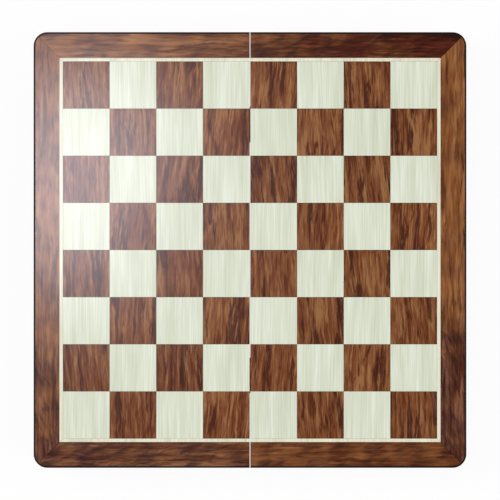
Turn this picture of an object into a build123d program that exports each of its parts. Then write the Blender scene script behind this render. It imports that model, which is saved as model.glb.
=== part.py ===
from build123d import *
import os
from math import sqrt

# A folding chess board that is also the case for its men. It lies open and flat, playing face up.
# X runs across the seam, Y along it and Z up, in millimetres. The lowest point, under the middle of
# the seam, is the origin.

# Playing face
SQUARE_X = 40.8  # across the seam
SQUARE_Y = 41.2  # along the seam
SQUARES = 8
BAND = 3.1  # light stringing round the squares
BORDER = 21.1  # veneer border outside the stringing
EDGE = 1.5  # lacquered edge outside the border
EDGE_ROUND = 0.9
CORNER = 12.0  # outer corners in plan
VENEER = 0.6
GLUE_LINE = 0.12
SEAM_GAP = 0.6

# Case
HALF_HEIGHT = 36.0  # from the rim to the playing face
DECK = 4.4  # panel under the veneer
RAIL = 10.0
LINING = 1.0
LINING_CLEAR = 0.2
TRAY_RECESS = 0.5  # the tray's face lies this far inside the rim
TRAY_WALL = 3.0  # foam left between a rail and the nearest slot

# Butt hinges under the seam
HINGE_Y = 112.0
LEAF_MARGIN = 5.0  # from an end screw to the leaf's end
LEAF_REACH = 9.0  # from the pin's axis to the leaf's free edge
LEAF = 1.0
LEAF_SINK = 0.1  # the leaf lies this far inside the rim
MORTISE_CLEAR = 0.1
KNUCKLES = 5
KNUCKLE_R = 1.6
KNUCKLE_GAP = 0.2
PIN_R = 0.75
RUNNING_FIT = 0.05
FIXED_FIT = 0.02
RIM_CLEAR = 0.1  # from the pin's axis up to the rim
NOTCH_CLEAR = 0.3  # round a knuckle, in the rail and the other leaf

# Countersunk screws of the hinges
SCREWS = 3
SCREW_PITCH = 11.0
SCREW_X = 5.6
SCREW_R = 0.8
SCREW_HEAD_R = 1.7
SCREW_LENGTH = 8.0
SCREW_SINK = 0.05
DRIVE_WIDTH = 0.4
DRIVE_DEPTH = 0.35

# Hook latches let into the outer walls
LATCH_Y = 100.0
LATCH_DROP = 9.0  # from the rim to a hook's pivot, and to a catch stud
POCKET = 2.0
POCKET_MARGIN = 1.0
POCKET_ROUND = 3.0
HOOK = 1.1
HOOK_LIFT = 0.2  # from the pocket's floor to the hook
HOOK_ARM = 3.6
HOOK_EYE_R = 2.6
HOOK_NOSE_R = 3.4
HOOK_MOUTH = 26.0  # degrees of travel through the hook's mouth
STUD_CLEAR = 0.15  # between a stud and the sides of the mouth
STUD_R = 1.0
STUD_HEAD_R = 2.0
STUD_HEAD = 0.9
STUD_DEPTH = 6.0
COLLAR_R = 1.8

# Chessmen
SLOT_CLEAR = 0.4
SLOT_ROUND = 1.0
REST_GAP = 0.3
FELT = 0.6
FELT_MARGIN = 0.8
FOOT = 4.0
FOOT_ROUND = 1.4
FOOT_STEP = 2.0
NECK_BEAD = 1.8
RISE_SLOPE = 0.8  # height of the rise over the foot for each millimetre it narrows
MEN = {
    "king": {"base": 14.0, "waist": 6.6, "neck": 4.0, "stem": 44.0, "bead": 7.4, "head": 7.6, "height": 75.0},
    "queen": {"base": 13.5, "waist": 6.2, "neck": 3.8, "stem": 41.0, "bead": 7.0, "head": 7.2, "height": 65.0},
    "bishop": {"base": 12.5, "waist": 5.6, "neck": 3.3, "stem": 34.0, "bead": 5.8, "head": 5.4, "height": 56.0},
    "knight": {"base": 12.5, "waist": 8.6, "neck": 7.6, "stem": 9.0, "bead": 8.8, "head": 10.5, "height": 50.0},
    "rook": {"base": 13.0, "waist": 7.4, "neck": 6.2, "stem": 27.0, "bead": 7.8, "head": 8.2, "height": 43.0},
    "pawn": {"base": 11.0, "waist": 5.0, "neck": 3.0, "stem": 21.0, "bead": 5.4, "head": 6.4, "height": 36.0},
}
KNIGHT_CHEEK = 9.0
CROWN_CUT_R = 1.2
DOME_OUT = 0.65  # a point on a crown's dome, as shares of its radius and its rise
DOME_DOWN = 0.3
CROWN_CUTS = 9
CROSS_ARM = 2.0
CROSS_SPAN = 8.0
CROSS_HEIGHT = 8.5
CROSS_BAR = 0.4  # from the top to the bar's middle, as a share of the cross
FINIAL_R = 2.1
MERLONS = 6
MERLON_DEPTH = 3.2
MERLON_WALL = 2.4
MERLON_GAP = 2.0
CLEFT = 1.1
CLEFT_TURN = 40.0
CLEFT_UP = 1.6  # over the neck bead, in head radii
MITRE_WIDEST = 1.3  # over the neck bead, in head radii
CROWN_RISE = 2.4
OFFICERS = ("rook", "knight", "bishop", "queen", "king", "bishop", "knight", "rook")

# What follows from them
near = SEAM_GAP / 2
half_x = near + SQUARES / 2 * SQUARE_X + BAND + BORDER + EDGE
half_y = SQUARES / 2 * SQUARE_Y + BAND + BORDER + EDGE
axis_z = KNUCKLE_R
leaf_length = 2 * LEAF_MARGIN + (SCREWS - 1) * SCREW_PITCH
rim_z = axis_z + RIM_CLEAR
top_z = rim_z + HALF_HEIGHT
veneer_z = top_z - VENEER
deck_z = veneer_z - DECK
lining_z = deck_z - LINING
tray_z = rim_z + TRAY_RECESS
leaf_z = rim_z + LEAF_SINK
men_pitch = 2 * (half_y - RAIL) / len(OFFICERS)
pocket_x = half_x - POCKET
latch_z = rim_z + LATCH_DROP
hook_reach = 2 * (LATCH_DROP + RIM_CLEAR)
hook_x = pocket_x + HOOK_LIFT
mouth_r = STUD_R + STUD_CLEAR
stud_head_x = hook_x + HOOK + HOOK_LIFT
halves = {"left": -1, "right": 1}
colours = {"left": "white", "right": "black"}

os.makedirs("parts", exist_ok=True)


def save(piece, name):
    """Labels a finished piece and writes its file."""
    piece.part.label = name
    export_step(piece.part, f"parts/{name}.step")


def half_plan(side, inset=0.0):
    """The plan of one half, drawn in by inset from its three outer edges; its seam edge stays."""
    far = half_x - inset
    with BuildSketch() as plan:
        with Locations((side * (far + near) / 2, 0)):
            Rectangle(far - near, 2 * (half_y - inset))
        ends = plan.vertices().sort_by(Axis.X)
        fillet(ends[-2:] if side > 0 else ends[:2], radius=CORNER - inset)
    return plan.sketch


def mitred_strip(side, place, inset, width):
    """One of the three strips that run round a half, mitred at the outer corners."""
    far_x = side * (half_x - inset)
    far_y = half_y - inset
    in_x = far_x - side * width
    in_y = far_y - width
    corners = {
        "outer": [(far_x, -far_y), (far_x, far_y), (in_x, in_y), (in_x, -in_y)],
        "front": [(side * near, -far_y), (far_x, -far_y), (in_x, -in_y), (side * near, -in_y)],
        "back": [(side * near, far_y), (far_x, far_y), (in_x, in_y), (side * near, in_y)],
    }
    with BuildSketch() as strip:
        with BuildLine():
            Polyline(*corners[place], close=True)
        make_face()
        if inset < CORNER:
            add(half_plan(side, inset), mode=Mode.INTERSECT)
    return strip.sketch


def veneer_strip(side, place, inset, width):
    """A mitred strip of veneer, drawn in by half a glue line all round."""
    with BuildSketch() as strip:
        add(mitred_strip(side, place, inset, width))
        offset(amount=-GLUE_LINE / 2, kind=Kind.INTERSECTION)
    return strip.sketch


def square_centres(side, shade):
    """The centres of one half's squares of one shade; the far left corner square is dark."""
    centres = []
    for column in range(SQUARES // 2):
        for row in range(SQUARES):
            from_left = SQUARES // 2 + (column if side > 0 else -1 - column)
            dark = (from_left + SQUARES - 1 - row) % 2 == 0
            if dark == (shade == "dark"):
                x = side * (near + (column + 0.5) * SQUARE_X)
                centres.append((x, (row + 0.5 - SQUARES / 2) * SQUARE_Y))
    return centres


# Decks: panels with a lacquered lip round a bed for the veneers
for half, side in halves.items():
    with BuildPart() as deck:
        with BuildSketch(Plane.XY.offset(deck_z)):
            add(half_plan(side))
        extrude(amount=DECK + VENEER)
        upper = deck.edges().group_by(Axis.Z)[-1]
        at_seam = upper.filter_by(Axis.Y).sort_by(lambda edge: abs(edge.center().X))[0]
        fillet([edge for edge in upper if edge != at_seam], radius=EDGE_ROUND)
        with BuildSketch(Plane.XY.offset(veneer_z)):
            add(half_plan(side, EDGE))
        extrude(amount=VENEER, mode=Mode.SUBTRACT)
    save(deck, f"{half}_deck")

# Veneers: a mitred border, the light band inside it and the squares
for half, side in halves.items():
    for place in ("outer", "front", "back"):
        with BuildPart() as border:
            with BuildSketch(Plane.XY.offset(veneer_z)):
                add(veneer_strip(side, place, EDGE, BORDER))
            extrude(amount=VENEER)
        save(border, f"{half}_border_{place}")

    with BuildPart() as band:
        with BuildSketch(Plane.XY.offset(veneer_z)):
            for place in ("outer", "front", "back"):
                add(veneer_strip(side, place, EDGE + BORDER, BAND))
        extrude(amount=VENEER)
    save(band, f"{half}_band")

    for shade in ("dark", "light"):
        with BuildPart() as squares:
            with BuildSketch(Plane.XY.offset(veneer_z)):
                with Locations(*square_centres(side, shade)):
                    Rectangle(SQUARE_X - GLUE_LINE, SQUARE_Y - GLUE_LINE)
            extrude(amount=VENEER)
        save(squares, f"{half}_{shade}_squares")


def screw_ys(hinge_y):
    """Where one leaf's screws stand along the seam."""
    return [hinge_y + (n - (SCREWS - 1) / 2) * SCREW_PITCH for n in range(SCREWS)]


hinge_ys = {"front": -HINGE_Y, "back": HINGE_Y}
latch_ys = {"front": -LATCH_Y, "back": LATCH_Y}
all_screw_ys = [y for hinge_y in hinge_ys.values() for y in screw_ys(hinge_y)]

# Rails: the black side walls, with mortises for the hinges and pockets for the latches
for half, side in halves.items():
    for place in ("front", "back"):
        with BuildPart() as rail:
            with BuildSketch(Plane.XY.offset(rim_z)):
                add(mitred_strip(side, place, 0, RAIL))
            extrude(amount=deck_z - rim_z)
        save(rail, f"{half}_{place}_rail")

    with BuildPart() as outer_rail:
        with BuildSketch(Plane.XY.offset(rim_z)):
            add(mitred_strip(side, "outer", 0, RAIL))
        extrude(amount=deck_z - rim_z)
        for place, latch_y in latch_ys.items():
            inward = -1 if latch_y > 0 else 1
            back_edge = HOOK_NOSE_R + POCKET_MARGIN
            width = hook_reach + 2 * back_edge
            height = LATCH_DROP + back_edge + POCKET_ROUND
            with BuildSketch(Plane.YZ.offset(side * half_x)):
                with Locations((latch_y + inward * hook_reach / 2, rim_z - POCKET_ROUND + height / 2)):
                    RectangleRounded(width, height, POCKET_ROUND)
            extrude(amount=-side * POCKET, mode=Mode.SUBTRACT)
            with BuildSketch(Plane.YZ.offset(side * pocket_x)):
                with Locations((latch_y, latch_z)):
                    Circle(STUD_R + FIXED_FIT)
            extrude(amount=-side * (STUD_DEPTH + FIXED_FIT), mode=Mode.SUBTRACT)
    save(outer_rail, f"{half}_outer_rail")

    with BuildPart() as seam_rail:
        with BuildSketch(Plane.XY.offset(rim_z)):
            with Locations((side * (near + RAIL / 2), 0)):
                Rectangle(RAIL, 2 * (half_y - RAIL))
        extrude(amount=deck_z - rim_z)
        with BuildSketch(Plane.XY.offset(rim_z)):
            reach = LEAF_REACH + MORTISE_CLEAR
            with Locations(*[(side * reach / 2, y) for y in hinge_ys.values()]):
                Rectangle(reach, leaf_length + 2 * MORTISE_CLEAR)
        extrude(amount=LEAF_SINK + LEAF, mode=Mode.SUBTRACT)
        for hinge_y in hinge_ys.values():
            notch_y = hinge_y - leaf_length / 2 - NOTCH_CLEAR
            with BuildSketch(Plane(origin=(0, notch_y, axis_z), x_dir=(1, 0, 0), z_dir=(0, 1, 0))):
                Circle(KNUCKLE_R + NOTCH_CLEAR)
            extrude(amount=leaf_length + 2 * NOTCH_CLEAR, mode=Mode.SUBTRACT)
        with BuildSketch(Plane.XY.offset(leaf_z)):
            with Locations(*[(side * SCREW_X, y) for y in all_screw_ys]):
                Circle(SCREW_R + FIXED_FIT)
        extrude(amount=SCREW_LENGTH + FIXED_FIT, mode=Mode.SUBTRACT)
    save(seam_rail, f"{half}_seam_rail")

# Hinges: two leaves, a pin and countersunk screws; the left leaf has the end knuckles
for place, hinge_y in hinge_ys.items():
    pitch = leaf_length / KNUCKLES
    knuckle_starts = [hinge_y - leaf_length / 2 + n * pitch + KNUCKLE_GAP / 2 for n in range(KNUCKLES)]
    for half, side in halves.items():
        own = knuckle_starts[0::2] if side < 0 else knuckle_starts[1::2]
        bore_r = PIN_R + (FIXED_FIT if side < 0 else RUNNING_FIT)
        plate_x = KNUCKLE_R + NOTCH_CLEAR
        tab_x = sqrt(KNUCKLE_R**2 - (leaf_z + LEAF - axis_z) ** 2)
        with BuildPart() as leaf:
            with BuildSketch(Plane.XY.offset(leaf_z)):
                with Locations((side * (plate_x + LEAF_REACH) / 2, hinge_y)):
                    Rectangle(LEAF_REACH - plate_x, leaf_length)
                with Locations(*[(side * (tab_x + plate_x) / 2, y + (pitch - KNUCKLE_GAP) / 2) for y in own]):
                    Rectangle(plate_x - tab_x, pitch - KNUCKLE_GAP)
            extrude(amount=LEAF)
            for y in own:
                with BuildSketch(Plane(origin=(0, y, axis_z), x_dir=(1, 0, 0), z_dir=(0, 1, 0))):
                    Circle(KNUCKLE_R)
                extrude(amount=pitch - KNUCKLE_GAP)
            bore_y = hinge_y - leaf_length / 2
            with BuildSketch(Plane(origin=(0, bore_y, axis_z), x_dir=(1, 0, 0), z_dir=(0, 1, 0))):
                Circle(bore_r)
            extrude(amount=leaf_length, mode=Mode.SUBTRACT)
            seats = [Plane(origin=(side * SCREW_X, y, leaf_z), z_dir=(0, 0, -1)) for y in screw_ys(hinge_y)]
            with Locations(*[seat.location for seat in seats]):
                CounterSinkHole(SCREW_R + FIXED_FIT, SCREW_HEAD_R, depth=2 * LEAF, counter_sink_angle=90)
        save(leaf, f"{place}_hinge_{half}_leaf")

    with BuildPart() as pin:
        pin_y = knuckle_starts[0]
        with BuildSketch(Plane(origin=(0, pin_y, axis_z), x_dir=(1, 0, 0), z_dir=(0, 1, 0))):
            Circle(PIN_R)
        extrude(amount=leaf_length - KNUCKLE_GAP)
    save(pin, f"{place}_hinge_pin")

for half, side in halves.items():
    with BuildPart() as screws:
        for y in all_screw_ys:
            face_z = leaf_z + SCREW_SINK
            cone = SCREW_HEAD_R - SCREW_SINK
            with BuildSketch(Plane(origin=(side * SCREW_X, y, face_z), x_dir=(1, 0, 0), z_dir=(0, -1, 0))):
                with BuildLine():
                    Polyline(
                        (0, 0),
                        (cone - SCREW_SINK, 0),
                        (SCREW_R, cone - SCREW_SINK - SCREW_R),
                        (SCREW_R, SCREW_LENGTH - 2 * SCREW_R),
                        (0, SCREW_LENGTH - SCREW_SINK),
                        close=True,
                    )
                make_face()
            revolve(axis=Axis((side * SCREW_X, y, 0), (0, 0, 1)))
        with BuildSketch(Plane.XY.offset(leaf_z + SCREW_SINK)):
            with Locations(*[(side * SCREW_X, y) for y in all_screw_ys]):
                Rectangle(2 * SCREW_HEAD_R, DRIVE_WIDTH)
        extrude(amount=DRIVE_DEPTH, mode=Mode.SUBTRACT)
    save(screws, f"{half}_hinge_screws")

# Latches: a hook swings down from each pocket on the right and drops its mouth over a stud on the left
for place, latch_y in latch_ys.items():
    inward = -1 if latch_y > 0 else 1
    with BuildPart() as hook:
        origin = (hook_x, latch_y, latch_z)
        with BuildSketch(Plane(origin=origin, x_dir=(0, inward, 0), z_dir=(-inward, 0, 0))):
            Circle(HOOK_EYE_R)
            with Locations((hook_reach / 2, 0)):
                Rectangle(hook_reach, HOOK_ARM)
            with Locations((hook_reach, 0)):
                Circle(HOOK_NOSE_R)
            Circle(STUD_R + RUNNING_FIT, mode=Mode.SUBTRACT)
            with BuildLine():
                far_lip = CenterArc((0, 0), hook_reach + mouth_r, 0, HOOK_MOUTH)
                near_lip = CenterArc((0, 0), hook_reach - mouth_r, 0, HOOK_MOUTH)
                Line(far_lip @ 1, near_lip @ 1)
                ThreePointArc(near_lip @ 0, (hook_reach, -mouth_r), far_lip @ 0)
            make_face(mode=Mode.SUBTRACT)
        extrude(amount=-inward * HOOK)
    save(hook, f"{place}_hook")


def ball_foot(ball_r, neck_r):
    """How far under a ball's middle the ball is as narrow as its neck."""
    return sqrt(ball_r**2 - neck_r**2)


def stud_outline():
    """Half of a stud's outline, from its point in the wall to a domed head that stands over the hook."""
    under_head = stud_head_x - pocket_x
    collar_top = HOOK_LIFT - RUNNING_FIT
    dome_r = (STUD_HEAD_R**2 + STUD_HEAD**2) / (2 * STUD_HEAD)
    dome_centre = under_head + STUD_HEAD - dome_r
    with BuildSketch() as outline:
        with BuildLine():
            Polyline((0, -STUD_DEPTH), (STUD_R, STUD_R - STUD_DEPTH), (STUD_R, 0), (COLLAR_R, 0))
            Polyline((COLLAR_R, 0), (COLLAR_R, collar_top), (STUD_R, collar_top), (STUD_R, under_head))
            Line((STUD_R, under_head), (STUD_HEAD_R, under_head))
            shoulder = (STUD_HEAD_R / 2, dome_centre + ball_foot(dome_r, STUD_HEAD_R / 2))
            ThreePointArc((STUD_HEAD_R, under_head), shoulder, (0, under_head + STUD_HEAD))
            Line((0, under_head + STUD_HEAD), (0, -STUD_DEPTH))
        make_face()
    return outline.sketch


for name, side in (("hook_pivot_screws", 1), ("catch_studs", -1)):
    with BuildPart() as studs:
        for latch_y in latch_ys.values():
            origin = (side * pocket_x, latch_y, latch_z)
            with BuildSketch(Plane(origin=origin, x_dir=(0, 1, 0), z_dir=(0, 0, -side))):
                add(stud_outline())
            revolve(axis=Axis(origin, (side, 0, 0)))
        if side > 0:
            with BuildSketch(Plane.YZ.offset(stud_head_x + STUD_HEAD)):
                with Locations(*[(y, latch_z) for y in latch_ys.values()]):
                    Rectangle(DRIVE_WIDTH, 2 * STUD_HEAD_R)
            extrude(amount=-DRIVE_DEPTH, mode=Mode.SUBTRACT)
    save(studs, name)


def man_frame(side, man, place):
    """A man's own frame: origin under its base, Z along its axis and X up; pawns face the other way."""
    y = (place + 0.5 - len(OFFICERS) / 2) * men_pitch
    margin = RAIL + TRAY_WALL + SLOT_CLEAR + FELT
    x = side * (near + margin if man == "pawn" else half_x - margin)
    along = side if man == "pawn" else -side
    z = lining_z - REST_GAP - MEN[man]["base"]
    return Plane(origin=(x, y, z), x_dir=(0, 0, 1), z_dir=(along, 0, 0))


def places_of(man):
    """The places along the tray that hold one kind of man."""
    return [place for place, officer in enumerate(OFFICERS) if man in ("pawn", officer)]


def rise_top(size):
    """How high the hollow rise from a man's foot reaches."""
    return FOOT + (size["base"] - size["waist"]) * RISE_SLOPE


def man_outline(man):
    """Half of a man's outline for turning, radius along X and height along Y: foot, stem, bead, head."""
    size = MEN[man]
    base, waist, neck, stem = size["base"], size["waist"], size["neck"], size["stem"]
    head, height = size["head"], size["height"]
    bead_top = stem + NECK_BEAD
    top = height
    with BuildSketch() as outline:
        with BuildLine():
            Line((0, 0), (base - FOOT_ROUND, 0))
            ThreePointArc((base - FOOT_ROUND, 0), (base, FOOT / 2), (base - FOOT_ROUND, FOOT))
            Line((base - FOOT_ROUND, FOOT), (base - FOOT_STEP, FOOT))
            rise = (waist, min(rise_top(size), stem - NECK_BEAD))
            Spline((base - FOOT_STEP, FOOT), rise, tangents=[(-0.2, 1), (-0.3, 1)])
            Spline(rise, (neck, stem), tangents=[(-0.3, 1), (0, 1)])
            bead_in = size["bead"] - NECK_BEAD / 2
            Line((neck, stem), (bead_in, stem))
            ThreePointArc((bead_in, stem), (size["bead"], stem + NECK_BEAD / 2), (bead_in, bead_top))
            if man != "knight":
                Line((bead_in, bead_top), (neck, bead_top))
            if man == "pawn":
                centre = height - head
                seat = (neck, centre - ball_foot(head, neck))
                Line((neck, bead_top), seat)
                ThreePointArc(seat, (head, centre), (0, height))
            elif man == "rook":
                flare = bead_top + head - neck
                Polyline((neck, bead_top), (head, flare), (head, height), (0, height))
            elif man == "knight":
                top = bead_top
                Line((bead_in, bead_top), (0, bead_top))
            elif man == "bishop":
                tip = (FINIAL_R / 2, height - FINIAL_R - ball_foot(FINIAL_R, FINIAL_R / 2))
                widest = (head, bead_top + head * MITRE_WIDEST)
                Spline((neck, bead_top), widest, tip, tangents=[(0.5, 1), (-1, 1)])
                ThreePointArc(tip, (FINIAL_R, height - FINIAL_R), (0, height))
            else:
                finial = FINIAL_R + ball_foot(FINIAL_R, FINIAL_R / 2)
                crest = height - (CROSS_HEIGHT if man == "king" else finial)
                crown = (head, crest - CROWN_RISE)
                Spline((neck, bead_top), crown, tangents=[(0.2, 1), (0.5, 1)])
                dome = (head * DOME_OUT, crest - CROWN_RISE * DOME_DOWN)
                ThreePointArc(crown, dome, (FINIAL_R / 2, crest))
                if man == "king":
                    top = crest
                    Line((FINIAL_R / 2, crest), (0, crest))
                else:
                    ThreePointArc((FINIAL_R / 2, crest), (FINIAL_R, height - FINIAL_R), (0, height))
            Line((0, top), (0, 0))
        make_face()
    return outline.sketch


def knight_outline():
    """A horse's head and neck from the side, nose to the left, standing in the knight's neck bead."""
    size = MEN["knight"]
    foot = size["stem"] + NECK_BEAD / 2
    rise = size["height"] - foot

    def at(across, up):
        return (across * size["head"], foot + up * rise)

    with BuildSketch() as outline:
        with BuildLine():
            mane = Spline(at(0.66, 0), at(0.98, 0.3), at(0.8, 0.66), at(0.2, 0.9))
            ear = Polyline(mane @ 1, at(0.1, 1), at(-0.14, 0.89))
            face = Spline(ear @ 1, at(-0.48, 0.76), at(-0.96, 0.52))
            nose = ThreePointArc(face @ 1, at(-1, 0.45), at(-0.82, 0.4))
            chin = Line(nose @ 1, at(-0.48, 0.42))
            cheek = ThreePointArc(chin @ 1, at(-0.2, 0.47), at(-0.06, 0.41))
            chest = Spline(cheek @ 1, at(-0.3, 0.28), at(-0.68, 0.14), at(-0.66, 0))
            Line(chest @ 1, mane @ 0)
        make_face()
    return outline.sketch


# Linings and trays: felt under each deck, and foam with a slot for each man
for half, side in halves.items():
    inside = half_x - near - 2 * RAIL
    centre_x = side * (half_x + near) / 2
    with BuildPart() as lining:
        with BuildSketch(Plane.XY.offset(lining_z)):
            with Locations((centre_x, 0)):
                Rectangle(inside - 2 * LINING_CLEAR, 2 * (half_y - RAIL - LINING_CLEAR))
        extrude(amount=LINING)
    save(lining, f"{half}_felt_lining")

    with BuildPart() as tray:
        with BuildSketch(Plane.XY.offset(tray_z)):
            with Locations((centre_x, 0)):
                Rectangle(inside - 2 * LINING_CLEAR, 2 * (half_y - RAIL - LINING_CLEAR))
            for man, size in MEN.items():
                long_foot = rise_top(size) + FELT + 2 * SLOT_CLEAR
                long_body = size["height"] + FELT + 2 * SLOT_CLEAR
                wide_foot = 2 * (size["base"] + SLOT_CLEAR)
                wide_body = 2 * (max(size["head"], size["bead"]) + SLOT_CLEAR)
                for place in places_of(man):
                    frame = man_frame(side, man, place)
                    along = frame.z_dir.X
                    slot_x = frame.origin.X - along * (FELT + SLOT_CLEAR)
                    with Locations((slot_x + along * long_foot / 2, frame.origin.Y)):
                        RectangleRounded(long_foot, wide_foot, SLOT_ROUND, mode=Mode.SUBTRACT)
                    with Locations((slot_x + along * long_body / 2, frame.origin.Y)):
                        RectangleRounded(long_body, wide_body, SLOT_ROUND, mode=Mode.SUBTRACT)
        extrude(amount=lining_z - tray_z)
    save(tray, f"{half}_foam_tray")

# Men: turned, then cut or topped with what marks each kind
for half, side in halves.items():
    for man, size in MEN.items():
        plural = "s" if len(places_of(man)) > 1 else ""
        with BuildPart() as men:
            for place in places_of(man):
                frame = man_frame(side, man, place)
                turning = Plane(origin=frame.origin, x_dir=frame.x_dir, z_dir=-frame.y_dir)
                with BuildSketch(turning):
                    add(man_outline(man))
                revolve(axis=Axis(frame.origin, frame.z_dir))
                flat = Plane(origin=frame.origin, x_dir=frame.y_dir, z_dir=frame.x_dir)
                if man == "rook":
                    with BuildSketch(frame.offset(size["height"])):
                        Circle(size["head"] - MERLON_WALL)
                        with PolarLocations(0, MERLONS // 2, angular_range=180):
                            Rectangle(2 * size["head"] + MERLON_WALL, MERLON_GAP)
                    extrude(amount=-MERLON_DEPTH, mode=Mode.SUBTRACT)
                elif man == "queen":
                    with BuildSketch(frame.offset(size["height"])):
                        with PolarLocations(size["head"] + CROWN_CUT_R / 2, CROWN_CUTS):
                            Circle(CROWN_CUT_R)
                    extrude(amount=-2 * FINIAL_R - 2 * CROWN_RISE, mode=Mode.SUBTRACT)
                elif man == "bishop":
                    with BuildSketch(flat):
                        with Locations((size["head"], size["stem"] + NECK_BEAD + CLEFT_UP * size["head"])):
                            Rectangle(2 * size["head"], CLEFT, rotation=CLEFT_TURN)
                    extrude(amount=size["base"], both=True, mode=Mode.SUBTRACT)
                elif man == "king":
                    with BuildSketch(flat):
                        with Locations((0, size["height"] - (CROSS_HEIGHT + CROSS_ARM) / 2)):
                            Rectangle(CROSS_ARM, CROSS_HEIGHT + CROSS_ARM)
                        with Locations((0, size["height"] - CROSS_HEIGHT * CROSS_BAR)):
                            Rectangle(CROSS_SPAN, CROSS_ARM)
                    extrude(amount=CROSS_ARM / 2, both=True)
                elif man == "knight":
                    with BuildPart(mode=Mode.PRIVATE) as horse:
                        with BuildSketch(flat):
                            add(knight_outline())
                        extrude(amount=KNIGHT_CHEEK / 2, both=True)
                    add(horse.part)
        save(men, f"{colours[half]}_{man}{plural}")

    with BuildPart() as felts:
        for man, size in MEN.items():
            for place in places_of(man):
                with BuildSketch(man_frame(side, man, place)):
                    Circle(size["base"] - FELT_MARGIN)
                extrude(amount=-FELT)
    save(felts, f"{colours[half]}_base_felts")
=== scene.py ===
import bmesh
import bpy
import numpy as np
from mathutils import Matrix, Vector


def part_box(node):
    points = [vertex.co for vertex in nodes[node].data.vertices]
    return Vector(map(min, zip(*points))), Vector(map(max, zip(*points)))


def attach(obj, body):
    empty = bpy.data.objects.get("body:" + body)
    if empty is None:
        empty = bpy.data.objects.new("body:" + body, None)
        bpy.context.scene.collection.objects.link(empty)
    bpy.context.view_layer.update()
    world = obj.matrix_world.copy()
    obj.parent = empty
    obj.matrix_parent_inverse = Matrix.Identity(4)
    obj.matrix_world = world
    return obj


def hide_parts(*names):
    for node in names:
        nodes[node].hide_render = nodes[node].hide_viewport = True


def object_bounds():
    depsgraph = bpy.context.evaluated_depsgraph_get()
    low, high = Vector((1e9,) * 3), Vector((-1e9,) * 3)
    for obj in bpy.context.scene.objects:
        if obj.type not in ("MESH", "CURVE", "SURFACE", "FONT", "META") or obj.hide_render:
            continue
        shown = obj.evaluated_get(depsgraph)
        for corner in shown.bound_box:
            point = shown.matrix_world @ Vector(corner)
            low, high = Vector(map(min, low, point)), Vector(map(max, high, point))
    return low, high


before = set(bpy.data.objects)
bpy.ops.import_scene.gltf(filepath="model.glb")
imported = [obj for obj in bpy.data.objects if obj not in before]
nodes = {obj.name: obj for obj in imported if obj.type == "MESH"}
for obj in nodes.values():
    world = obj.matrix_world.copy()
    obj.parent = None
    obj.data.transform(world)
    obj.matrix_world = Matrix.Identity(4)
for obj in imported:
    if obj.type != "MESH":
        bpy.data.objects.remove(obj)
cad_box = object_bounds()


# Side rails and decks
# The case is a glued frame of solid rails, mitred at the corners, under a plywood deck. Sides, seam faces and
# the rounded edge of the deck are sprayed black and rubbed down to a satin, so the grain hardly shows.

PEEL, PEEL_DEPTH = 1 / 900, 0.00005  # one dimple of the sprayed film, 1.1 mm wide
WEAR = 1 / 30  # one patch that was rubbed more than the next, 33 mm
BLACKS = [(0.3, "#070505"), (0.7, "#130d0b")]
RUBBED, UNRUBBED = 0.4, 0.55  # roughness
RUBBED_GLOSS = 0.15  # a rubbed film mirrors less than a clear one


def linear(hex_colour, alpha=1.0):
    """An sRGB hex colour as linear values: each channel to the sRGB curve's power of 2.4 above its foot."""
    channels = [int(hex_colour[n : n + 2], 16) / 255 for n in (1, 3, 5)]
    return tuple(c / 12.92 if c <= 0.04045 else ((c + 0.055) / 1.055) ** 2.4 for c in channels) + (alpha,)


def feed(tree, node, inputs):
    """Gives a node's sockets what they read, by name or in order: a number, a hex colour, a socket to link,
    or a node, whose first output in use is linked."""
    for socket, value in inputs.items() if isinstance(inputs, dict) else enumerate(inputs):
        if isinstance(value, bpy.types.Node):
            value = next(output for output in value.outputs if output.enabled)
        if isinstance(value, bpy.types.NodeSocket):
            tree.links.new(value, node.inputs[socket])
        else:
            node.inputs[socket].default_value = linear(value) if isinstance(value, str) else value


def add_node(tree, kind, inputs=(), stops=(), **settings):
    """Adds one node. Settings are its own fields, inputs feeds its sockets, and stops are a ramp's positions,
    each with a hex colour or a grey from 0 to 1."""
    new = tree.nodes.new(kind)
    for name, value in settings.items():
        setattr(new, name, value)
    for place, (position, tone) in enumerate(stops):
        if place >= len(new.color_ramp.elements):
            new.color_ramp.elements.new(position)
        colour = linear(tone) if isinstance(tone, str) else (tone, tone, tone, 1.0)
        new.color_ramp.elements[place].position = position
        new.color_ramp.elements[place].color = colour
    feed(tree, new, inputs)
    return new


def new_finish(name):
    """An empty material with its output, and the Principled shader that every finish here ends in."""
    material = bpy.data.materials.new(name)
    material.use_nodes = True
    tree = material.node_tree
    tree.nodes.clear()
    shader = add_node(tree, "ShaderNodeBsdfPrincipled")
    add_node(tree, "ShaderNodeOutputMaterial", {"Surface": shader})
    return material, tree, shader, add_node(tree, "ShaderNodeTexCoord").outputs["Object"]


def dress(material, *names):
    """Gives CAD nodes one finish, in the material slots of their objects."""
    for name in names:
        nodes[name].data.materials.clear()
        nodes[name].data.materials.append(material)


def black_lacquer():
    """Sprayed cellulose lacquer on close-grained wood: near black, slightly warm, with a fine orange peel."""
    material, tree, shader, place = new_finish("black_satin_lacquer")
    peel = add_node(tree, "ShaderNodeTexNoise", {"Vector": place, "Scale": 1 / PEEL, "Detail": 2.0})
    wear = add_node(tree, "ShaderNodeTexNoise", {"Vector": place, "Scale": 1 / WEAR, "Detail": 4.0})
    tone = add_node(tree, "ShaderNodeValToRGB", {"Fac": wear}, BLACKS)
    gloss = add_node(tree, "ShaderNodeMapRange", {"Value": wear, "To Min": RUBBED, "To Max": UNRUBBED})
    bump = add_node(tree, "ShaderNodeBump", {"Height": peel, "Strength": 0.15, "Distance": PEEL_DEPTH})
    film = {"Base Color": tone, "Roughness": gloss, "Specular IOR Level": RUBBED_GLOSS, "Normal": bump}
    feed(tree, shader, film)
    return material


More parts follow.
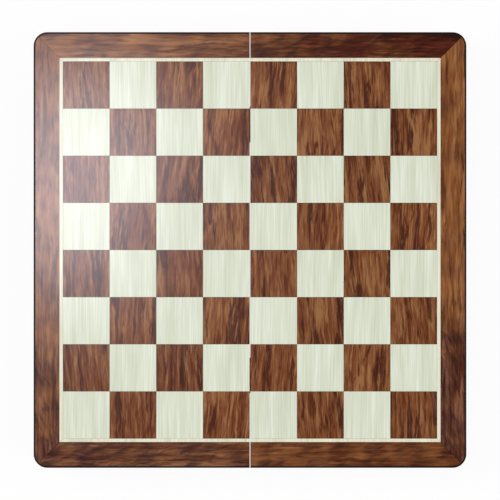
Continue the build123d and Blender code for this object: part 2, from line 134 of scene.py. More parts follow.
lacquer = black_lacquer()
for half in ("left", "right"):
    dress(lacquer, f"{half}_deck", f"{half}_outer_rail", f"{half}_front_rail", f"{half}_back_rail")
    dress(lacquer, f"{half}_seam_rail")


# Border veneers
# Six strips of sliced walnut frame the board, with the grain along each strip and mitres at the corners. They
# are glued, scraped and lacquered. The leaves are golden in places and dark in others, where the figure is
# feathered as in wood from a fork of the tree.

LACQUER_ROUGHNESS = 0.2
PORE_DENT = 0.00003  # how deep a pore dents the lacquer
BROAD, BROAD_LENGTH = 0.008, 0.08  # one band of the figure, across and along the grain
STREAK, STREAK_LENGTH = 0.0024, 0.034
FLECK, FLECK_LENGTH = 0.001, 0.011  # rows of pores, drawn coarser than they are, so that they show
VEIN, VEIN_LENGTH = 0.0055, 0.055  # a dark vein, often with a mauve core
BROAD_WEIGHT, STREAK_WEIGHT, STRIP_PORES = 0.5, 0.7, 0.3
VEIN_WEIGHT, VEIN_BREAK = 0.85, 0.15  # how much the vein's own noise counts, and how much pores break it up
SWAY, SWAY_LENGTH, SWAY_REACH = 0.012, 0.03, 0.0032  # how the grain wanders from a straight line
FEATHER, FEATHER_LENGTH = 0.0046, 0.02  # one lick of the feathered figure
FEATHER_TURN = np.radians(-22)  # from the grain
FEATHER_PATCH = 0.022
TONE_REACH = 0.15  # how far the noise strays before a tone ramp ends
GOLDEN = [(0.05, "#75431f"), (0.28, "#865229"), (0.5, "#8f5b31"), (0.74, "#98653a"), (0.95, "#a46f44")]
DEEP = [(0.05, "#2c0800"), (0.28, "#3f1405"), (0.5, "#4c1c09"), (0.74, "#592510"), (0.95, "#66301a")]
VEIN_TONES = [(0.31, "#6c4033"), (0.37, "#3a1308")]
MAUVE = [(0.05, "#2d0e0b"), (0.28, "#421f18"), (0.5, "#532c24"), (0.74, "#623b2f"), (0.95, "#724b3b")]
FEATHER_DARK = "#200906"
DEPTH_WEIGHT, PATCH_WEIGHT = 0.75, 0.9  # what makes the wood dark: its place on the strip, and patches
# Ends of ranges, as from low, from high, to low and to high.
DARKENS = (0.4, 1.05)
LICK_EDGE = (0.56, 0.34, 0.0, 0.6)
FEATHERED_FROM = (0.55, 0.85)
STRIP_VEINS = (0.47, 0.39, 0.0, 0.7)
MITRE_STAIN = (0.0001, 0.0004, 0.35, 1.0)  # glue darkens the veneer beside a joint, over 0.4 mm
SEED_ASIDE = 0.37  # a strip's leaf lies this far along the log for each metre aside
UNDER, OVER = 6, 7  # the two colour sockets of a Mix node
border_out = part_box("right_border_outer")[1]
border_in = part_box("right_band")[1]


def figure(tree, grain, across, along, detail, distortion=0.0, roughness=0.6):
    """Noise drawn out along the grain, which runs in Y: one feature is across wide and along long, in metres,
    because the place is divided by them before the noise reads it."""
    scale = (1 / across, 1 / along, 1 / across)
    drawn = add_node(tree, "ShaderNodeMapping", {"Vector": grain, "Scale": scale})
    shape = {"Vector": drawn, "Scale": 1.0, "Detail": detail}
    shape.update({"Roughness": roughness, "Distortion": distortion})
    return add_node(tree, "ShaderNodeTexNoise", shape)


def weigh(tree, *parts):
    """The sum of values, each times its weight."""
    total = 0.0
    for value, weight in parts:
        total = add_node(tree, "ShaderNodeMath", (value, weight, total), operation="MULTIPLY_ADD")
    return total


def swayed(tree, place):
    """The place moved across the grain by slow noise, so that straight lines wander."""
    slow = figure(tree, place, SWAY, SWAY_LENGTH, 1.0)
    aside = add_node(tree, "ShaderNodeMath", (slow, SWAY_REACH, -SWAY_REACH / 2), operation="MULTIPLY_ADD")
    step = add_node(tree, "ShaderNodeCombineXYZ", {"X": aside})
    return add_node(tree, "ShaderNodeVectorMath", (place, step), operation="ADD")


def walnut(tree, grain, pore_weight):
    """What all walnut leaves share: the tone's place on a ramp, from bands, streaks and rows of pores, then
    the noise that veins follow, and that of the pores."""
    bands = figure(tree, grain, BROAD, BROAD_LENGTH, 2.0, 0.5)
    streaks = figure(tree, grain, STREAK, STREAK_LENGTH, 3.0, 0.15)
    flecks = figure(tree, grain, FLECK, FLECK_LENGTH, 2.0)
    wide = figure(tree, grain, VEIN, VEIN_LENGTH, 4.0, 0.5)
    broken = weigh(tree, (wide, VEIN_WEIGHT), (flecks, VEIN_BREAK))
    middle = (BROAD_WEIGHT + STREAK_WEIGHT + pore_weight) / 2
    value = weigh(tree, (bands, BROAD_WEIGHT), (streaks, STREAK_WEIGHT), (flecks, pore_weight))
    tone = add_node(tree, "ShaderNodeMapRange", (value, middle - TONE_REACH, middle + TONE_REACH))
    return tone, broken, flecks


def veined(tree, wood, veins, edge):
    """Dark veins over the wood, where their noise is low: edge says how they fade in and how strong they
    get."""
    tone = add_node(tree, "ShaderNodeValToRGB", {"Fac": veins}, VEIN_TONES)
    share = add_node(tree, "ShaderNodeMapRange", (veins, *edge))
    return add_node(tree, "ShaderNodeMix", {"Factor": share, UNDER: wood, OVER: tone}, data_type="RGBA")


def lacquer_over(tree, shader, colour, pores):
    """Clear satin lacquer, thin enough for the pores to dent it."""
    bump = add_node(tree, "ShaderNodeBump", {"Height": pores, "Strength": 0.1, "Distance": PORE_DENT})
    feed(tree, shader, {"Base Color": colour, "Roughness": LACQUER_ROUGHNESS, "Normal": bump})


def border_walnut(name, along_x, seed, dark_tones, depths):
    """One strip's leaf. The grain follows the strip, and depths says how dark and feathered it is, from 0 to
    1, at places along it given as parts of the board's whole side."""
    material, tree, shader, place = new_finish(name)
    turn = (0, 0, np.pi / 2 if along_x else 0.0)
    leaf = {"Vector": place, "Location": (seed, SEED_ASIDE * seed, 0.0), "Rotation": turn}
    grain = swayed(tree, add_node(tree, "ShaderNodeMapping", leaf))
    value, veins, flecks = walnut(tree, grain, STRIP_PORES)
    split = add_node(tree, "ShaderNodeSeparateXYZ", {"Vector": place})
    half = border_out[0 if along_x else 1]
    along = add_node(tree, "ShaderNodeMapRange", (split.outputs["X" if along_x else "Y"], -half, half))
    deep = add_node(tree, "ShaderNodeValToRGB", {"Fac": along}, depths)
    patches = figure(tree, grain, FEATHER_PATCH, FEATHER_PATCH, 1.0)
    deeper = weigh(tree, (deep, DEPTH_WEIGHT), (patches, PATCH_WEIGHT))
    golden = add_node(tree, "ShaderNodeValToRGB", {"Fac": value}, GOLDEN)
    dark = add_node(tree, "ShaderNodeValToRGB", {"Fac": value}, dark_tones)
    share = add_node(tree, "ShaderNodeMapRange", (deeper, *DARKENS))
    wood = add_node(tree, "ShaderNodeMix", {"Factor": share, UNDER: golden, OVER: dark}, data_type="RGBA")
    slanted = add_node(tree, "ShaderNodeMapping", {"Vector": grain, "Rotation": (0, 0, FEATHER_TURN)})
    licks = figure(tree, slanted, FEATHER, FEATHER_LENGTH, 2.0, 0.8)
    licked = add_node(tree, "ShaderNodeMapRange", (licks, *LICK_EDGE))
    in_dark = add_node(tree, "ShaderNodeMapRange", (deeper, *FEATHERED_FROM))
    feathered = add_node(tree, "ShaderNodeMath", (licked, in_dark), operation="MULTIPLY")
    wood = add_node(
        tree, "ShaderNodeMix", {"Factor": feathered, UNDER: wood, OVER: FEATHER_DARK}, data_type="RGBA"
    )
    wood = veined(tree, wood, veins, STRIP_VEINS)
    aside = [add_node(tree, "ShaderNodeMath", (split.outputs[n],), operation="ABSOLUTE") for n in (0, 1)]
    past = [add_node(tree, "ShaderNodeMath", (aside[n], border_in[n]), operation="SUBTRACT") for n in (0, 1)]
    apart = add_node(tree, "ShaderNodeMath", past, operation="SUBTRACT")
    mitre = add_node(tree, "ShaderNodeMath", (apart,), operation="ABSOLUTE")
    joint = add_node(tree, "ShaderNodeMath", (mitre, past[1 if along_x else 0]), operation="MINIMUM")
    stain = add_node(tree, "ShaderNodeMapRange", (joint, *MITRE_STAIN))
    stained = add_node(tree, "ShaderNodeVectorMath", {0: wood, "Scale": stain}, operation="SCALE")
    lacquer_over(tree, shader, stained, flecks)
    return material


for strip, along_x, seed, dark_tones, depths in (
    ("left_border_outer", False, 1.31, MAUVE, [(0.0, 0.6), (0.3, 0.3), (0.6, 0.15), (1.0, 0.25)]),
    ("right_border_outer", False, 2.97, MAUVE, [(0.05, 0.8), (0.28, 0.6), (0.4, 0.1), (1.0, 0.1)]),
    ("left_border_back", True, 4.13, MAUVE, [(0.0, 0.15), (0.5, 0.25)]),
    ("right_border_back", True, 5.71, DEEP, [(0.5, 0.5), (0.75, 0.7), (0.95, 1.0)]),
    ("left_border_front", True, 7.39, MAUVE, [(0.0, 0.6), (0.5, 0.45)]),
    ("right_border_front", True, 8.93, DEEP, [(0.5, 0.3), (1.0, 0.45)]),
):
    dress(border_walnut(strip.replace("border", "walnut"), along_x, seed, dark_tones, depths), strip)


# Squares and band
# The field is cut from walnut and maple leaf, taped into a sheet and glued down, with a maple band round it.
# All grain runs along the seam, each square is cut from another part of its leaf, and joints are hairlines.

SQUARE_TONES = [(0.05, "#58290e"), (0.28, "#6b3a1c"), (0.5, "#784627"), (0.74, "#865532"), (0.95, "#95683f")]
MAPLE_TONES = [(0.05, "#c9ceb6"), (0.5, "#d5dac5"), (0.95, "#e2e8d6")]
BAND_TONES = [(0.05, "#cfc9b0"), (0.5, "#dfdbc4"), (0.95, "#eae7d1")]
MAPLE_LINE, MAPLE_LINE_LENGTH, MAPLE_LINE_WEIGHT = 0.0009, 0.05, 0.6
MAPLE_BAND, MAPLE_BAND_LENGTH, MAPLE_BAND_WEIGHT = 0.008, 0.1, 0.5
MAPLE_REACH = (0.38, 0.72)
SQUARE_PORES = 0.45
SQUARE_VEINS = (0.48, 0.41, 0.0, 0.85)
LEAF_TONES = (0.0, 1.0, 0.93, 1.04)  # how much lighter or darker a whole square may be
GLUE_STAIN = (0.00006, 0.0005, 0.4, 1.0)  # glue darkens a square inside its edge, over 0.5 mm
LEAF_STEP = (3.0, 3.0, 3.0)  # each square is cut from within this far of the others, in metres
SEAM_HALF_GAP = 0.0003
WALNUT_LEAN, MAPLE_LEAN = np.radians(5), np.radians(2)  # the most that one square's grain leans
field_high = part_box("right_light_squares")[1]
pitches = ((field_high[0] - SEAM_HALF_GAP) / 4, field_high[1] / 4)


def by_square(tree, place, most_lean):
    """A grain for each square: the place is moved and leant by chance numbers of the square's row and column.
    Also gives the chance number, and how far inside its square the place is."""
    split = add_node(tree, "ShaderNodeSeparateXYZ", {"Vector": place})
    far = add_node(tree, "ShaderNodeMath", (split.outputs["X"],), operation="ABSOLUTE")
    out = add_node(tree, "ShaderNodeMath", (far, SEAM_HALF_GAP), operation="SUBTRACT")
    side = add_node(tree, "ShaderNodeMath", (split.outputs["X"],), operation="SIGN")
    cells, inside = [], []
    for run, pitch in zip((out, split.outputs["Y"]), pitches):
        step = add_node(tree, "ShaderNodeMath", (run, pitch), operation="DIVIDE")
        from_edge = add_node(tree, "ShaderNodeMath", (step, 0.5), operation="PINGPONG")
        cells.append(add_node(tree, "ShaderNodeMath", (step,), operation="FLOOR"))
        inside.append(add_node(tree, "ShaderNodeMath", (from_edge, pitch), operation="MULTIPLY"))
    numbers = add_node(tree, "ShaderNodeCombineXYZ", (*cells, side))
    chance = add_node(tree, "ShaderNodeTexWhiteNoise", {"Vector": numbers}, noise_dimensions="3D")
    leaf = (chance.outputs["Color"], LEAF_STEP, place)
    moved = add_node(tree, "ShaderNodeVectorMath", leaf, operation="MULTIPLY_ADD")
    lean = (chance.outputs["Value"], 2 * most_lean, -most_lean)
    angle = add_node(tree, "ShaderNodeMath", lean, operation="MULTIPLY_ADD")
    turned = {"Vector": moved, "Angle": angle}
    leant = add_node(tree, "ShaderNodeVectorRotate", turned, rotation_type="Z_AXIS")
    nearest = add_node(tree, "ShaderNodeMath", inside, operation="MINIMUM")
    return leant, chance.outputs["Value"], nearest


def square_walnut():
    """Walnut squares: golden to mid brown, with dark veins, each a little lighter or darker than the next."""
    material, tree, shader, place = new_finish("walnut_squares")
    leaf, chance, inside = by_square(tree, place, WALNUT_LEAN)
    value, veins, flecks = walnut(tree, swayed(tree, leaf), SQUARE_PORES)
    wood = add_node(tree, "ShaderNodeValToRGB", {"Fac": value}, SQUARE_TONES)
    wood = veined(tree, wood, veins, SQUARE_VEINS)
    leaf_tone = add_node(tree, "ShaderNodeMapRange", (chance, *LEAF_TONES))
    glue = add_node(tree, "ShaderNodeMapRange", (inside, *GLUE_STAIN))
    stain = add_node(tree, "ShaderNodeMath", (leaf_tone, glue), operation="MULTIPLY")
    stained = add_node(tree, "ShaderNodeVectorMath", {0: wood, "Scale": stain}, operation="SCALE")
    lacquer_over(tree, shader, stained, flecks)
    return material


def maple(name, tones, in_squares):
    """Maple: pale, with fine straight lines and faint broad bands."""
    material, tree, shader, place = new_finish(name)
    grain = by_square(tree, place, MAPLE_LEAN)[0] if in_squares else place
    lines = figure(tree, grain, MAPLE_LINE, MAPLE_LINE_LENGTH, 2.0)
    bands = figure(tree, grain, MAPLE_BAND, MAPLE_BAND_LENGTH, 2.0, 0.4)
    value = weigh(tree, (lines, MAPLE_LINE_WEIGHT), (bands, MAPLE_BAND_WEIGHT))
    tone = add_node(tree, "ShaderNodeMapRange", (value, *MAPLE_REACH))
    lacquer_over(tree, shader, add_node(tree, "ShaderNodeValToRGB", {"Fac": tone}, tones), lines)
    return material


dress(square_walnut(), "left_dark_squares", "right_dark_squares")
dress(maple("maple_squares", MAPLE_TONES, True), "left_light_squares", "right_light_squares")
dress(maple("maple_band", BAND_TONES, False), "left_band", "right_band")


# Hinges and latches
# Two butt hinges under the seam and two small hook latches, rolled and stamped from brass sheet and tumbled
# to a soft shine. The screws and the domed studs are turned.

BRASS_TONES = [(0.3, "#b8893f"), (0.7, "#d9b063")]
TARNISH = 1 / 120  # one duller patch, 8 mm
RUB, RUB_LENGTH, RUB_DEPTH = 0.0002, 0.004, 0.00002  # one mark of the tumbling
SHINIEST, DULLEST = 0.18, 0.42  # roughness


def soft_brass():
    """Tumbled brass: warm yellow, a little duller in patches, with fine rubbing marks."""
    material, tree, shader, place = new_finish("tumbled_brass")
    patches = add_node(tree, "ShaderNodeTexNoise", {"Vector": place, "Scale": 1 / TARNISH, "Detail": 3.0})
    marks = figure(tree, place, RUB, RUB_LENGTH, 2.0)
    tone = add_node(tree, "ShaderNodeValToRGB", {"Fac": patches}, BRASS_TONES)
    gloss = add_node(tree, "ShaderNodeMapRange", {"Value": marks, "To Min": SHINIEST, "To Max": DULLEST})
    bump = add_node(tree, "ShaderNodeBump", {"Height": marks, "Strength": 0.1, "Distance": RUB_DEPTH})
    feed(tree, shader, {"Base Color": tone, "Metallic": 1.0, "Roughness": gloss, "Normal": bump})
    return material


brass = soft_brass()
for place in ("front", "back"):
    dress(brass, f"{place}_hinge_left_leaf", f"{place}_hinge_right_leaf", f"{place}_hinge_pin")
    dress(brass, f"{place}_hook")
dress(brass, "left_hinge_screws", "right_hinge_screws", "hook_pivot_screws", "catch_studs")


# Linings, trays and base felts
# Wool felt is glued under each deck, and a tray of flocked foam, die-cut with a slot for each man, is pressed
# in below it. Every man has a disc of the same felt glued under its base.

FOAM_ROUND = 0.0006  # how far the flock rounds the foam's cut edges
FELT_ROUND = 0.0002
FLAT_ANGLE = np.radians(0.5)  # faces that turn less than this are one flat face
CUT_ANGLE = np.radians(40)  # edges that turn more than this were cut
FLOCK_TUFT, FLOCK_HEIGHT, FLOCK_SHEEN = 0.0006, 0.0002, 0.35
FELT_TUFT, FELT_HEIGHT, FELT_SHEEN = 0.0009, 0.00025, 0.25
# The tone of a pile is painted light and shade: the tufts' height darkens the low pile and lightens the
# raised tufts, and patches where the pile lies another way are painted lighter or darker, as that pile
# catches the light differently.
TUFT_SHADE_WEIGHT, HANDLED_SHEEN_WEIGHT = 0.7, 0.3
HANDLED = 0.04  # one patch where the pile lies another way
PILE_ROUGHNESS, PILE_GLOSS = 0.95, 0.2


def softened_copy(node, name, round_over):
    """A CAD solid's surface again, as whole faces with rounded edges: triangles are joined where they share
    points, flat neighbours are dissolved into one face, and a bevel rounds what still has an angle."""
    copied = bmesh.new()
    copied.from_mesh(nodes[node].data)
    bmesh.ops.remove_doubles(copied, verts=copied.verts, dist=1e-6)
    bmesh.ops.dissolve_limit(
        copied, angle_limit=FLAT_ANGLE, verts=copied.verts, edges=copied.edges, use_dissolve_boundaries=False
    )
    mesh = bpy.data.meshes.new(name)
    copied.to_mesh(mesh)
    copied.free()
    piece = bpy.data.objects.new(name, mesh)
    bpy.context.collection.objects.link(piece)
    bevel = piece.modifiers.new("rounding", "BEVEL")
    bevel.width = round_over
    bevel.segments = 2
    bevel.limit_method = "ANGLE"
    bevel.angle_limit = CUT_ANGLE
    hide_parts(node)
    return piece


def pile(name, deep, lit_raised_tone, tuft, height, sheen):
    """A short pile: tone and bump from noise as coarse as one tuft, the tone being painted shade where the
    pile is low and painted light where it is raised, and a sheen where fibres catch light.
    """
    material, tree, shader, place = new_finish(name)
    tufts = add_node(tree, "ShaderNodeTexNoise", {"Vector": place, "Scale": 1 / tuft, "Detail": 3.0})
    patches = add_node(tree, "ShaderNodeTexNoise", {"Vector": place, "Scale": 1 / HANDLED, "Detail": 2.0})
    value = weigh(tree, (tufts, TUFT_SHADE_WEIGHT), (patches, HANDLED_SHEEN_WEIGHT))
    # Painted shade and light: the dark colour goes where the pile is low, the light one where it is raised.
    tone = add_node(tree, "ShaderNodeValToRGB", {"Fac": value}, [(0.38, deep), (0.62, lit_raised_tone)])
    bump = add_node(tree, "ShaderNodeBump", {"Height": tufts, "Strength": 0.6, "Distance": height})
    feed(tree, shader, {"Base Color": tone, "Roughness": PILE_ROUGHNESS, "Normal": bump})
    feed(tree, shader, {"Specular IOR Level": PILE_GLOSS, "Sheen Weight": sheen})
    return material


# Each pile's two colours are one green, shaded and lit: painted shade for the low pile, painted light for the
# raised tufts.
flock = pile("flocked_foam", "#0c2318", "#1b4430", FLOCK_TUFT, FLOCK_HEIGHT, FLOCK_SHEEN)
felt = pile("green_wool_felt", "#123a26", "#2b6a48", FELT_TUFT, FELT_HEIGHT, FELT_SHEEN)
for half, colour in (("left", "white"), ("right", "black")):
    tray = softened_copy(f"{half}_foam_tray", f"{half}_flocked_tray", FOAM_ROUND)
    lining = softened_copy(f"{half}_felt_lining", f"{half}_felt_sheet", FELT_ROUND)
    discs = softened_copy(f"{colour}_base_felts", f"{colour}_felt_discs", FELT_ROUND)
    finishes = (tray, flock, "flocked_foam"), (lining, felt, "felt"), (discs, felt, "felt")
    for piece, finish, of_slot in finishes:
        piece.data.materials.append(finish)
        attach(piece, f"{half}_half")
    low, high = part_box(f"{half}_felt_lining")


# Chessmen
# Turned in the usual club pattern, the light side in boxwood and the dark side in stained boxwood, sanded and
# lacquered on the lathe. Crosses, crowns, clefts and battlements are cut afterwards.

BOX_LINE, BOX_LINE_LENGTH, BOX_LINE_WEIGHT = 0.0006, 0.02, 0.6
BOX_BAND, BOX_BAND_LENGTH, BOX_BAND_WEIGHT = 0.004, 0.06, 0.4
BOX_REACH = (0.36, 0.64)
CHISEL_RINGS, CHISEL_DEPTH = 320.0, 0.00002  # as the wave texture counts them: one ring in 1 mm
BOX_TONES = [(0.0, "#b98a4c"), (0.5, "#d3a866"), (1.0, "#e3c081")]
STAINED_TONES = [(0.0, "#120907"), (0.5, "#23130e"), (1.0, "#3a2118")]


def turned_wood(name, tones, roughness):
    """Close-grained turned wood: grain along X, the way every man lies, and fine rings from the chisel."""
    material, tree, shader, place = new_finish(name)
    grain = add_node(tree, "ShaderNodeMapping", {"Vector": place, "Rotation": (0, 0, np.pi / 2)})
    lines = figure(tree, grain, BOX_LINE, BOX_LINE_LENGTH, 2.0)
    bands = figure(tree, grain, BOX_BAND, BOX_BAND_LENGTH, 2.0, 0.5)
    rings = {"Vector": place, "Scale": CHISEL_RINGS, "Distortion": 0.6}
    tool = add_node(tree, "ShaderNodeTexWave", rings, bands_direction="X").outputs["Fac"]
    value = weigh(tree, (lines, BOX_LINE_WEIGHT), (bands, BOX_BAND_WEIGHT))
    reach = add_node(tree, "ShaderNodeMapRange", (value, *BOX_REACH))
    tone = add_node(tree, "ShaderNodeValToRGB", {"Fac": reach}, tones)
    bump = add_node(tree, "ShaderNodeBump", {"Height": tool, "Strength": 0.1, "Distance": CHISEL_DEPTH})
    feed(tree, shader, {"Base Color": tone, "Roughness": roughness, "Normal": bump})
    return material


boxwood = turned_wood("lacquered_boxwood", BOX_TONES, 0.32)
stained = turned_wood("stained_boxwood", STAINED_TONES, 0.28)
for wood, colour in ((boxwood, "white"), (stained, "black")):
    dress(wood, f"{colour}_king", f"{colour}_queen", f"{colour}_bishops")
    dress(wood, f"{colour}_rooks", f"{colour}_pawns")


# Knights
# The foot is turned like the other men's. The horse's head and neck are carved from a second piece of the
# same wood, glued into the foot: a rounded body with a scalloped mane, ears, jaw, eyes, nostrils and a mouth.

MM = 0.001  # the sizes of this section are in millimetres
KNIGHT_FOOT_R, KNIGHT_WAIST_R, KNIGHT_BEAD_R = 12.5, 7.6, 8.8
FOOT_H, STEM_H, BEAD_H = 4.0, 9.0, 1.8
FOOT_ROUND = 1.4
HOLLOW_POWER = 1.8  # how fast the hollow over the foot narrows
HEAD_R = 10.5  # from the axis to the nose
NECK_FOOT, CREST_RISE = 9.9, 40.1  # where the neck starts, and from there to the tips of the ears
HORSE_RINGS, HORSE_POINTS = 120, 64
MANE_LOCKS, MANE_DEPTH, LOCK_GROOVE = 9, 0.7, 1.1
MANE_END, MANE_FADE = 0.56, 0.05  # of the way from the foot of the neck to the muzzle
CREST_POWER, SIDE_POWER = 3, 0.8  # how narrow the crest is, and how full the sides are
EAR_R, EAR_H, EAR_APART = 1.7, 5.0, 1.9
EAR_WIDEST, EAR_FULL, EAR_FLAT, EAR_TIP_R = 0.3, 0.8, 0.6, 0.02
EAR_BACK, EAR_SPREAD = 0.6, 0.5  # where its root lies behind the axis, and how its tip leans out
EYE_R, EYE_OUT, EYE_POLE = 0.95, 3.45, 0.05
# Stations from the foot of the neck to the muzzle. Each row has the back or upper edge, then the chest or
# lower edge, as parts of HEAD_R across and CREST_RISE up, and half the thickness in millimetres.
HORSE = np.array([
    (0.66, 0.00, -0.66, 0.00, 5.6),
    (0.82, 0.11, -0.68, 0.10, 5.3),
    (0.94, 0.23, -0.56, 0.18, 5.0),
    (0.98, 0.36, -0.36, 0.26, 4.6),
    (0.95, 0.50, -0.18, 0.33, 4.3),
    (0.85, 0.64, -0.07, 0.39, 4.2),
    (0.64, 0.77, -0.07, 0.43, 4.3),
    (0.36, 0.86, -0.16, 0.46, 4.4),
    (0.08, 0.90, -0.30, 0.45, 4.3),
    (-0.18, 0.87, -0.42, 0.43, 3.9),
    (-0.46, 0.77, -0.53, 0.42, 3.4),
    (-0.70, 0.66, -0.64, 0.41, 3.0),
    (-0.88, 0.57, -0.75, 0.40, 2.9),
    (-0.98, 0.50, -0.86, 0.40, 2.7),
    (-1.00, 0.46, -0.94, 0.42, 1.6),
])
# Each mark is where it lies, how wide it reaches and how far it stands out, in millimetres: a jaw, the hollow
# behind it, an eye socket and a nostril.
MARKS = ((-1.6, 32.6, 3.0, 1.3), (2.6, 31.5, 1.5, -0.9), (-3.0, 39.2, 1.7, -0.9), (-9.0, 29.6, 0.7, -1.0))
MOUTH = ((-10.4, 27.6), (-6.6, 28.6))
MOUTH_REACH, MOUTH_DEPTH = 0.5, 0.9


def curved(rows, count):
    """Rows drawn out to more rows on a smooth curve: between two rows it is the cubic whose slope at each is
    half the way from the row before to the row after."""
    padded = np.vstack([2 * rows[0] - rows[1], rows, 2 * rows[-1] - rows[-2]])
    at = np.linspace(0, len(rows) - 1, count)
    step = np.minimum(at.astype(int), len(rows) - 2)
    t = (at - step)[:, None]
    before, start, end, after = (padded[step + n] for n in range(4))
    slope_in, slope_out = (end - before) / 2, (after - start) / 2
    return (
        (2 * t**3 - 3 * t**2 + 1) * start
        + (t**3 - 2 * t**2 + t) * slope_in
        + (3 * t**2 - 2 * t**3) * end
        + (t**3 - t**2) * slope_out
    )


def turned(radii, heights):
    """Rings about the up axis: each is a circle of its radius at its height, as across, up and thick."""
    turn = np.linspace(0, 2 * np.pi, HORSE_POINTS, endpoint=False)
    up = np.repeat(heights[:, None], HORSE_POINTS, axis=1)
    return np.stack([np.outer(radii, np.cos(turn)), up, np.outer(radii, np.sin(turn))], axis=2)


def knight_foot():
    """The turned foot, in three runs: a half round, a hollow that narrows by a power of its height, and a
    half round bead."""
    bow = np.linspace(-np.pi / 2, np.pi / 2, 11)
    rise = np.linspace(0, 1, 14)
    foot_r = KNIGHT_FOOT_R - FOOT_ROUND + FOOT_ROUND * np.cos(bow)
    foot_h = FOOT_H / 2 * (1 + np.sin(bow))
    shoulder_r = KNIGHT_FOOT_R - 1.5 * FOOT_ROUND
    hollow_r = KNIGHT_WAIST_R + (shoulder_r - KNIGHT_WAIST_R) * (1 - rise) ** HOLLOW_POWER
    hollow_h = FOOT_H + (STEM_H - FOOT_H) * rise
    bead_r = KNIGHT_BEAD_R - BEAD_H / 2 * (1 - np.cos(bow))
    bead_h = STEM_H + BEAD_H / 2 * (1 + np.sin(bow))
    return turned(np.concatenate([foot_r, hollow_r, bead_r]), np.concatenate([foot_h, hollow_h, bead_h]))


def horse():
    """The head and neck: at each station an oval between the two edges, with the cosine of the turn across it
    and a power of the sine through it. The mane scallops the back edge and grooves the sides by the sine of
    its locks, and marks and the mouth's line stand out by a bell curve of the distance from each."""
    rows = curved(HORSE, HORSE_RINGS)
    scale = np.array([HEAD_R, CREST_RISE])
    back = rows[:, 0:2] * scale + (0, NECK_FOOT)
    front = rows[:, 2:4] * scale + (0, NECK_FOOT)
    along = np.linspace(0, 1, HORSE_RINGS)
    maned = np.clip((MANE_END - along) / MANE_FADE, 0, 1) * np.clip(along / MANE_FADE, 0, 1)
    lock = np.abs(np.sin(np.pi * MANE_LOCKS * along / MANE_END))
    middle = (back + front) / 2
    outward = (back - front) / np.linalg.norm(back - front, axis=1)[:, None]
    turn = np.linspace(0, 2 * np.pi, HORSE_POINTS, endpoint=False)
    reach = (back - front)[:, None, :] / 2 * np.cos(turn)[None, :, None]
    crest = np.clip(np.cos(turn), 0, 1) ** CREST_POWER
    comb = (maned * MANE_DEPTH * (lock - 0.5))[:, None] * crest
    flat = middle[:, None, :] + reach + comb[:, :, None] * outward[:, None, :]
    side = np.sign(np.sin(turn)) * np.abs(np.sin(turn)) ** SIDE_POWER
    body = rows[:, 4][:, None] * side
    groove = (maned * (lock - 1) * LOCK_GROOVE)[:, None] * np.clip(np.cos(turn) * 2, 0, 1) * np.sign(side)
    relief = np.zeros(flat.shape[:2])
    for across, up, wide, out in MARKS:
        far = (flat[:, :, 0] - across) ** 2 + (flat[:, :, 1] - up) ** 2
        relief += out * np.exp(-far / wide**2)
    lip, corner = np.array(MOUTH)
    run = corner - lip
    part = np.clip(((flat - lip) @ run) / (run @ run), 0, 1)
    off = np.linalg.norm(flat - lip - part[:, :, None] * run, axis=2)
    relief -= MOUTH_DEPTH * np.exp(-((off / MOUTH_REACH) ** 2))
    thick = body + groove + relief * side
    return np.concatenate([flat, thick[:, :, None]], axis=2)


def ear(sign):
    """One ear: flattened circles that follow a power of the sine, widest a little over the root and closed at
    the tip, which leans forward and out."""
    rise = np.linspace(0, 1, 12)
    radii = EAR_R * np.sin(np.pi * (EAR_WIDEST + (1 - EAR_WIDEST) * rise)) ** EAR_FULL + EAR_TIP_R
    rings = turned(radii, rise * EAR_H)
    rings[:, :, 2] *= EAR_FLAT
    rings[:, :, 0] += EAR_BACK * (1 - rise[:, None])
    rings[:, :, 1] += NECK_FOOT + CREST_RISE - EAR_H
    rings[:, :, 2] += sign * (EAR_APART + EAR_SPREAD * rise[:, None])
    return rings


def eye(sign):
    """One eye: a ball set into its socket, with the cosine of the bow as radius and its sine as height."""
    bow = np.linspace(-np.pi / 2 + EYE_POLE, np.pi / 2 - EYE_POLE, 9)
    rings = turned(EYE_R * np.cos(bow), EYE_R * np.sin(bow))
    return rings + np.array([MARKS[2][0], MARKS[2][1], sign * EYE_OUT])


def shells_mesh(name, shells):
    """Closed shells in one mesh: each is rings of points, with four-sided faces between and one face on each
    end."""
    points, faces, start = [], [], 0
    for rings in shells:
        count, around = rings.shape[:2]
        index = start + np.arange(count * around).reshape(count, around)
        following = np.roll(index, -1, axis=1)
        quads = np.stack([index[:-1], following[:-1], following[1:], index[1:]], axis=-1)
        faces += quads.reshape(-1, 4).tolist() + [index[0][::-1].tolist(), index[-1].tolist()]
        points.append(rings.reshape(-1, 3))
        start += count * around
    mesh = bpy.data.meshes.new(name)
    mesh.from_pydata((np.concatenate(points) * MM).tolist(), [], faces)
    outward = bmesh.new()
    outward.from_mesh(mesh)
    bmesh.ops.recalc_face_normals(outward, faces=outward.faces)
    outward.to_mesh(mesh)
    outward.free()
    mesh.shade_smooth()
    return mesh


for colour, half, wood in (("white", "left", boxwood), ("black", "right", stained)):
    low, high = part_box(f"{colour}_knights")
    heading = 1 if colour == "white" else -1  # the heads point to the seam
    base_x = low[0] if colour == "white" else high[0]
    middle_z = (low[2] + high[2]) / 2
    shells = []
    for y in (low[1] + KNIGHT_FOOT_R * MM, high[1] - KNIGHT_FOOT_R * MM):
        for local in (knight_foot(), horse(), ear(-1), ear(1), eye(-1), eye(1)):
            placed = np.stack([heading * local[:, :, 1], -heading * local[:, :, 0], local[:, :, 2]], axis=2)
            shells.append(placed + np.array([base_x, y, middle_z]) / MM)
    carved = bpy.data.objects.new(f"{colour}_knights_carved", shells_mesh(f"{colour}_knights_carved", shells))
    bpy.context.collection.objects.link(carved)
    carved.data.materials.append(wood)
    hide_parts(f"{colour}_knights")
    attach(carved, f"{half}_half")


# Floor, lights and camera
# Not part of the object: a white floor, two wide soft lights to the sides, a small soft light beside the
# camera that lays a sheen on the far left of the lacquer, and a camera that looks straight down.

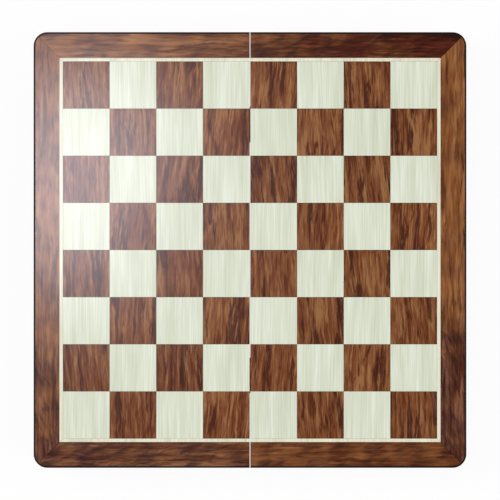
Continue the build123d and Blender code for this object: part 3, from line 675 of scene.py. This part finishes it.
FRAME_WIDTH = 0.4370  # what the picture spans at the playing face
CAMERA_HEIGHT = 1.7
SENSOR = 36.0
WHITE = (1.0, 1.0, 1.0, 1.0)
FLOOR_REACH = 6.0
FLOOR_GREY = (0.9, 0.9, 0.9, 1.0)
FLOOR_LIFT = 0.93  # how much of the floor's white glows, and isn't dimmed by the shadow
SIDE_LIGHT = 1.4
SHEEN_TINT = (0.9, 0.88, 1.0)
# The world is white at the horizon and dark overhead, where the lacquer would mirror it into the camera.
# These are the heights of a direction that it fades between, from 0 to 1, and its strength at each.
WORLD_FADE = (0.1, 0.9, 1.0, 0.1)
top_z = cad_box[1][2]

floor_mesh = bpy.data.meshes.new("floor")
corners = [(x * FLOOR_REACH, y * FLOOR_REACH, 0) for x, y in ((-1, -1), (1, -1), (1, 1), (-1, 1))]
floor_mesh.from_pydata(corners, [], [(0, 1, 2, 3)])
floor = bpy.data.objects.new("floor", floor_mesh)
bpy.context.collection.objects.link(floor)

paper = bpy.data.materials.new("white_paper")
paper.use_nodes = True
tree = paper.node_tree
tree.nodes.clear()
path = add_node(tree, "ShaderNodeLightPath")
seen = path.outputs["Is Camera Ray"]
for ray in ("Is Glossy Ray", "Is Transmission Ray"):
    seen = add_node(tree, "ShaderNodeMath", (seen, path.outputs[ray]), operation="MAXIMUM")
matt = add_node(tree, "ShaderNodeBsdfDiffuse", {"Color": FLOOR_GREY})
glow = add_node(tree, "ShaderNodeEmission", {"Color": WHITE, "Strength": seen})
lifted = add_node(tree, "ShaderNodeMixShader", (FLOOR_LIFT, matt, glow))
add_node(tree, "ShaderNodeOutputMaterial", {"Surface": lifted})
floor_mesh.materials.append(paper)

world = bpy.data.worlds.new("studio")
bpy.context.scene.world = world
world.use_nodes = True
tree = world.node_tree
tree.nodes.clear()
direction = add_node(tree, "ShaderNodeTexCoord").outputs["Generated"]
split = add_node(tree, "ShaderNodeSeparateXYZ", {"Vector": direction})
ceiling = add_node(tree, "ShaderNodeMapRange", (split.outputs["Z"], *WORLD_FADE))
sky = add_node(tree, "ShaderNodeBackground", {"Color": WHITE, "Strength": ceiling})
add_node(tree, "ShaderNodeOutputWorld", {"Surface": sky})


def soft_light(name, width, length, watts, position, colour=WHITE[:3]):
    """A soft light that faces the origin: its tilt is the angle of its place from upright."""
    lamp = bpy.data.lights.new(name, "AREA")
    lamp.shape = "RECTANGLE"
    lamp.size = width
    lamp.size_y = length
    lamp.color = colour
    lamp.energy = watts
    light = bpy.data.objects.new(name, lamp)
    bpy.context.collection.objects.link(light)
    light.location = position
    x, y, z = position
    light.rotation_euler = (0.0, np.arccos(z / np.linalg.norm(position)), np.arctan2(y, x))


soft_light("side_light_left", SIDE_LIGHT, SIDE_LIGHT, 31.0, (-1.7, 0.5, 1.5))
soft_light("side_light_right", SIDE_LIGHT, SIDE_LIGHT, 22.0, (1.7, -0.4, 1.5))
soft_light("sheen_light", 0.3, 0.36, 4.2, (-0.33, 0.125, top_z + CAMERA_HEIGHT), SHEEN_TINT)

lens = bpy.data.cameras.new("camera")
camera = bpy.data.objects.new("camera", lens)
bpy.context.collection.objects.link(camera)
lens.sensor_width = SENSOR
lens.lens = SENSOR * CAMERA_HEIGHT / FRAME_WIDTH
camera.location = (0.0, 0.0, top_z + CAMERA_HEIGHT)
bpy.context.scene.camera = camera
bpy.context.scene.view_settings.view_transform = "Standard"

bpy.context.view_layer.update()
